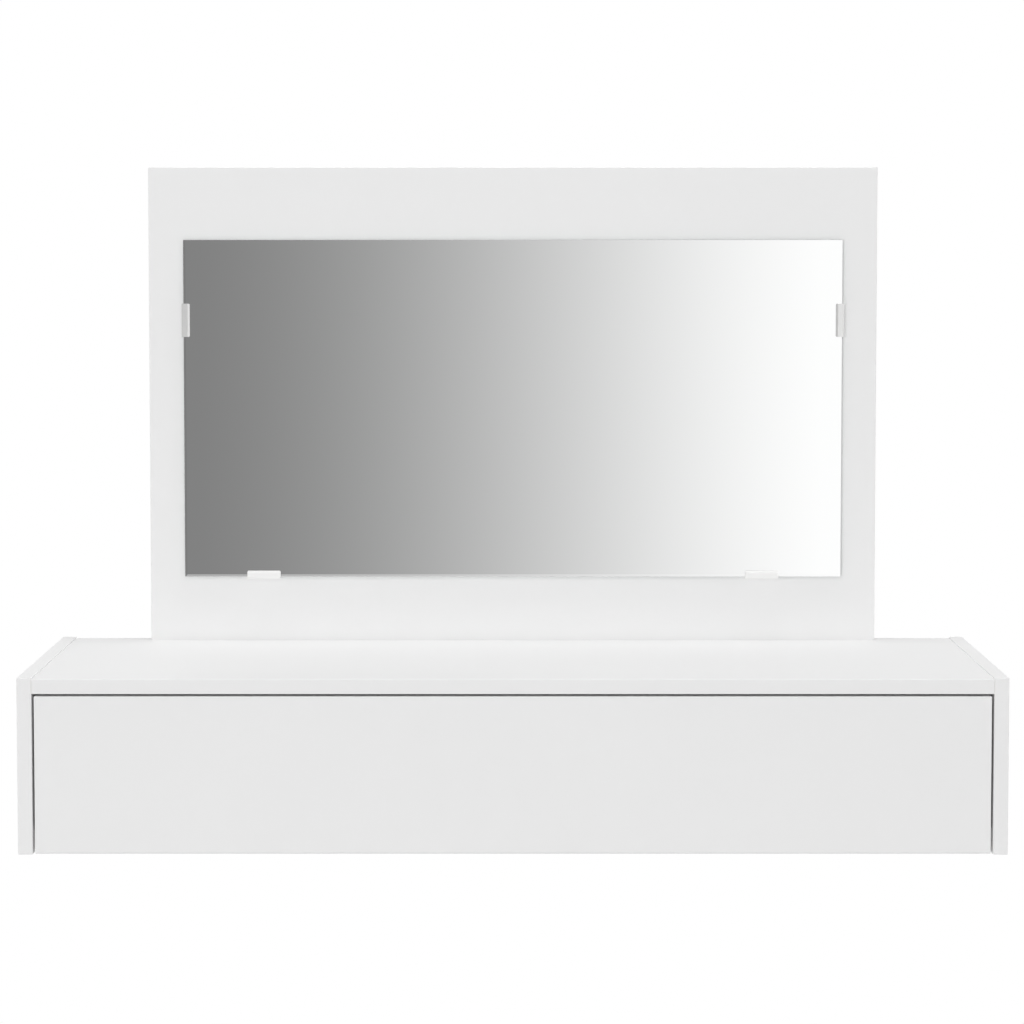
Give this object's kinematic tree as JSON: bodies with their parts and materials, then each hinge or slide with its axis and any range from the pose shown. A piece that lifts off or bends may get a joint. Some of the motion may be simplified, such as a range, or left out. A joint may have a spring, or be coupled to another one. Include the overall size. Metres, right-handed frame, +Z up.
{
  "type": "dressing table",
  "caption": "Wall-hung dressing table: a shallow white box with a wide handle-less drawer on roller runners and an upright panel that carries a clipped mirror.",
  "frame": {"origin": "on the wall plane, in the middle of the back panel's rear face, where the piece is fastened to the wall", "axes": "+X to the right seen from the front, +Y into the wall, +Z up; the drawer opens towards -Y"},
  "size_m": [1, 0.3, 0.7],
  "materials": {
    "white_board": "white melamine film on chipboard, fine satin",
    "drawer_board": "white melamine film on chipboard, satin",
    "hardboard": "white lacquered hardboard",
    "mirror": "silvered glass, polished edge",
    "clip_plastic": "moulded white plastic",
    "runner_enamel": "white stoved enamel on sheet steel",
    "nylon": "moulded nylon",
    "zinc": null,
    "steel": "zinc-plated steel",
    "beech": "turned beech"
  },
  "bodies": {
    "carcass": {"top_board": "white_board", "side_panel_left": "white_board", "side_panel_right": "white_board", "back_panel": "white_board", "mirror_panel": "white_board", "mirror_glass": "mirror", "mirror_clip_left": "clip_plastic", "mirror_clip_right": "clip_plastic", "mirror_clip_bottom_left": "clip_plastic", "mirror_clip_bottom_right": "clip_plastic", "clip_screw_left": "steel", "clip_screw_right": "steel", "clip_screw_bottom_left": "steel", "clip_screw_bottom_right": "steel", "mirror_panel_screw_left": "steel", "mirror_panel_screw_middle": "steel", "mirror_panel_screw_right": "steel", "cam_top_left_front": "zinc", "cam_top_left_rear": "zinc", "cam_top_right_front": "zinc", "cam_top_right_rear": "zinc", "cam_back_left": "zinc", "cam_back_right": "zinc", "cam_bolt_top_left_front": "steel", "cam_bolt_top_left_rear": "steel", "cam_bolt_top_right_front": "steel", "cam_bolt_top_right_rear": "steel", "cam_bolt_back_left": "steel", "cam_bolt_back_right": "steel", "dowel_back_left": "beech", "dowel_back_right": "beech", "cabinet_runner_left": "runner_enamel", "cabinet_runner_right": "runner_enamel", "cabinet_runner_screw_left_front": "steel", "cabinet_runner_screw_left_rear": "steel", "cabinet_runner_screw_right_front": "steel", "cabinet_runner_screw_right_rear": "steel"},
    "drawer": {"drawer_front": "white_board", "drawer_side_left": "drawer_board", "drawer_side_right": "drawer_board", "drawer_back": "drawer_board", "drawer_bottom": "hardboard", "cam_drawer_left": "zinc", "cam_drawer_right": "zinc", "cam_bolt_drawer_left": "steel", "cam_bolt_drawer_right": "steel", "dowel_drawer_left": "beech", "dowel_drawer_right": "beech", "drawer_back_screw_left": "steel", "drawer_back_screw_right": "steel", "drawer_runner_left": "runner_enamel", "drawer_runner_right": "runner_enamel", "drawer_runner_screw_left_front": "steel", "drawer_runner_screw_left_rear": "steel", "drawer_runner_screw_right_front": "steel", "drawer_runner_screw_right_rear": "steel"},
    "cabinet_roller_left": {"cabinet_roller_left": "nylon"},
    "cabinet_roller_right": {"cabinet_roller_right": "nylon"},
    "drawer_roller_left": {"drawer_roller_left": "nylon"},
    "drawer_roller_right": {"drawer_roller_right": "nylon"}
  },
  "joints": [
    {"name": "drawer_slide", "type": "slide", "parent": "carcass", "child": "drawer", "axis": [0, -1, 0], "range_m": [0, 0.185]},
    {"name": "cabinet_roller_left_turn", "type": "hinge", "parent": "carcass", "child": "cabinet_roller_left", "pos_m": [-0.47925, -0.2705, -0.04565], "axis": [1, 0, 0], "range_deg": [0, 1178]},
    {"name": "cabinet_roller_right_turn", "type": "hinge", "parent": "carcass", "child": "cabinet_roller_right", "pos_m": [0.47925, -0.2705, -0.04565], "axis": [1, 0, 0], "range_deg": [0, 1178]},
    {"name": "drawer_roller_left_turn", "type": "hinge", "parent": "drawer", "child": "drawer_roller_left", "pos_m": [-0.47825, -0.0445, -0.04745], "axis": [1, 0, 0], "range_deg": [0, 1178]},
    {"name": "drawer_roller_right_turn", "type": "hinge", "parent": "drawer", "child": "drawer_roller_right", "pos_m": [0.47825, -0.0445, -0.04745], "axis": [1, 0, 0], "range_deg": [0, 1178]}
  ],
  "couplings": [
    {"joint": "cabinet_roller_left_turn", "follows": "drawer_slide", "rad_per_m": 111.11},
    {"joint": "cabinet_roller_right_turn", "follows": "drawer_slide", "rad_per_m": 111.11},
    {"joint": "drawer_roller_left_turn", "follows": "drawer_slide", "rad_per_m": 111.11},
    {"joint": "drawer_roller_right_turn", "follows": "drawer_slide", "rad_per_m": 111.11}
  ]
}
